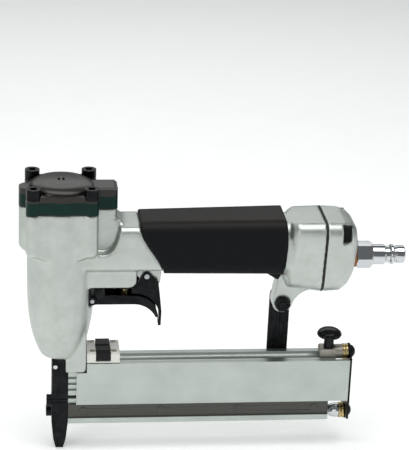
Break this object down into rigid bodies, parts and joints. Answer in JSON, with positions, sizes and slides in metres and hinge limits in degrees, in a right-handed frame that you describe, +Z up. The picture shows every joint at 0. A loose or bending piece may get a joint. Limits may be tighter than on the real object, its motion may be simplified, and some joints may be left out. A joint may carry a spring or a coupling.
{
  "type": "pneumatic pin nailer",
  "caption": "Hand-held air-driven headless pin nailer: cast body, rubber grip, trigger with safety lever, sliding pin magazine with latch and pusher, and an air plug.",
  "frame": {"origin": "centre of the nose tip's working face, on the driver axis, where the pins come out", "axes": "+Z up the driver axis to the cap, +X back along the magazine to the air inlet, +Y across to the far side of the picture's view"},
  "size_m": [0.2247, 0.041, 0.1686],
  "materials": {
    "casting": "satin cast and tumbled",
    "steel": "ground",
    "dark_steel": "dark ground strip",
    "black_steel": "black oxide, slightly glossy",
    "rubber": "matt",
    "grip": "matt with fine ribs across",
    "ring_green": "very dark green gloss",
    "graphite": "graphite grey, semi-gloss",
    "plastic_white": "machined acetal",
    "plastic_black": "satin",
    "aluminium": "anodised extrusion",
    "latch_grey": "grey",
    "brass": "turned",
    "copper": "soft washer",
    "chrome": "bright nickel",
    "clear": "clear moulded block"
  },
  "bodies": {
    "tool_body": {"main_housing": "casting", "cylinder_sleeve": "steel", "bumper": "rubber", "head_valve_spring": "steel", "head_gasket": "rubber", "head_ring": "ring_green", "cap_cover": "graphite", "cap_screws": "black_steel", "spring_washers": "black_steel", "nose_front_plate": "black_steel", "nose_rear_plate": "black_steel", "nose_screws": "black_steel", "nose_dowel": "steel", "grip_sleeve": "grip", "rear_gasket": "rubber", "rear_cap": "casting", "rear_cap_screws": "black_steel", "exhaust_mufflers": "plastic_black", "plug_washer": "copper", "air_plug": "chrome", "trigger_bracket": "black_steel", "trigger_pin": "steel", "valve_guide": "plastic_black", "valve_bushing": "brass", "valve_spring": "steel", "safety_pin": "steel", "magazine_rail": "aluminium", "pin_track_strip": "dark_steel", "strip_rivets": "steel", "strap_bracket": "black_steel", "strap_bolt": "black_steel", "strap_nut": "black_steel", "strap_screws": "black_steel", "clear_block": "clear", "clear_block_screws": "brass", "catch_pin": "steel"},
    "trigger": {"trigger_lever": "black_steel"},
    "safety": {"safety_lever": "black_steel"},
    "trigger_valve": {"valve_stem": "brass"},
    "driver": {"piston_driver": "steel", "piston_ring": "rubber"},
    "head_valve_body": {"head_valve": "plastic_white"},
    "catch_lever": {"catch": "plastic_black"},
    "cover_slide": {"magazine_cover": "aluminium", "end_plate": "black_steel", "end_screws": "black_steel", "brass_bushes": "brass", "lower_locator": "steel", "latch_body": "latch_grey", "spring_rod": "steel", "pusher_spring": "steel", "latch_spring": "steel"},
    "latch": {"latch_pin": "steel", "latch_knob": "plastic_black"},
    "pin_pusher": {"pusher": "steel"}
  },
  "joints": [
    {"name": "trigger_pivot", "type": "hinge", "parent": "tool_body", "child": "trigger", "pos_m": [0.018, 0, 0.0961], "axis": [0, -1, 0], "range_deg": [0, 6.1], "stiffness_Nm_per_rad": 0.6, "springref_deg": -5.73},
    {"name": "safety_pivot", "type": "hinge", "parent": "tool_body", "child": "safety", "pos_m": [0.0494, 0, 0.1103], "axis": [0, -1, 0], "range_deg": [0, 10]},
    {"name": "valve_slide", "type": "slide", "parent": "tool_body", "child": "trigger_valve", "axis": [0, 0, 1], "range_m": [0, 0.00206], "deforming": ["valve_spring"]},
    {"name": "driver_stroke", "type": "slide", "parent": "tool_body", "child": "driver", "axis": [0, 0, -1], "range_m": [0, 0.052]},
    {"name": "head_valve_lift", "type": "slide", "parent": "tool_body", "child": "head_valve_body", "axis": [0, 0, 1], "range_m": [0, 0.003], "stiffness_N_per_m": 600, "springref_m": -0.004, "deforming": ["head_valve_spring"]},
    {"name": "cover_slide_out", "type": "slide", "parent": "tool_body", "child": "cover_slide", "axis": [1, 0, 0], "range_m": [0, 0.12]},
    {"name": "latch_pull", "type": "slide", "parent": "cover_slide", "child": "latch", "axis": [0, 0, 1], "range_m": [0, 0.0022], "stiffness_N_per_m": 400, "springref_m": -0.003, "deforming": ["latch_spring"]},
    {"name": "pusher_run", "type": "slide", "parent": "cover_slide", "child": "pin_pusher", "axis": [1, 0, 0], "range_m": [0, 0.11], "stiffness_N_per_m": 30, "springref_m": -0.03, "deforming": ["pusher_spring"]},
    {"name": "catch_lift", "type": "hinge", "parent": "tool_body", "child": "catch_lever", "pos_m": [0, 0.003, 0.0614], "axis": [-1, 0, 0], "range_deg": [0, 12]}
  ],
  "couplings": [
    {"joint": "safety_pivot", "follows": "trigger_pivot", "ratio": 1.63},
    {"joint": "valve_slide", "follows": "trigger_pivot", "m_per_rad": 0.0193}
  ]
}
